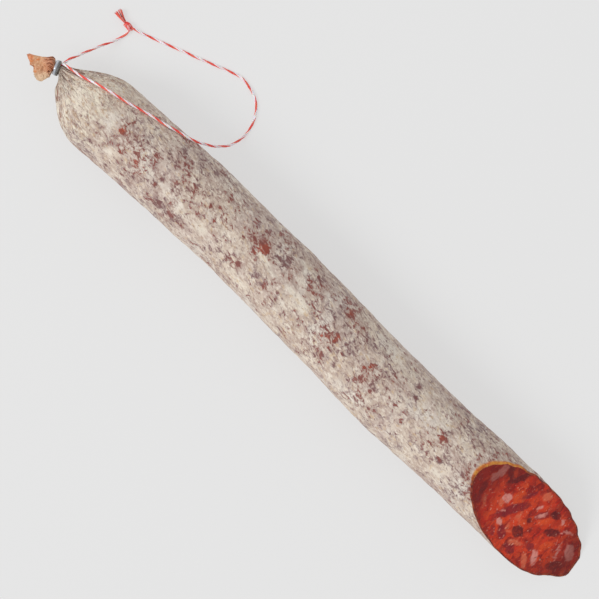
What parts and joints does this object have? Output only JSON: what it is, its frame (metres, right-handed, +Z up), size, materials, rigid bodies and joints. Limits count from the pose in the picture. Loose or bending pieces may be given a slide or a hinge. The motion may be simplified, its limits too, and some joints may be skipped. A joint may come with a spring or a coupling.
{
  "type": "cured sausage",
  "caption": "Long cured sausage in a mould-coated casing, lying on its side, with a clipped end, a twine loop for hanging, and a slanted cut that shows the filling.",
  "frame": {"origin": "on the table under the middle of the sausage, clip to cut tip, without the twine", "axes": "+X along the sausage towards its cut end, +Z up from the table, +Y towards the side where the twine loop lies"},
  "size_m": [0.4047, 0.0915, 0.0444],
  "materials": {
    "casing": "matt, covered in cream white mould with brick red and grey-brown spots",
    "casing_end": "dry crumpled casing, amber to tan with reddish brown folds",
    "filling": "moist cut meat, paprika red with dark lean pieces and pink-white fat",
    "clip": "bright drawn wire",
    "twine": "red and white cotton plies twisted together"
  },
  "bodies": {
    "root": {"casing": "casing", "casing_end": "casing_end", "filling": "filling", "clip": "clip", "string_long": "twine", "string_short": "twine", "string_knot": "twine", "string_end_a": "twine", "string_end_b": "twine"}
  },
  "joints": []
}
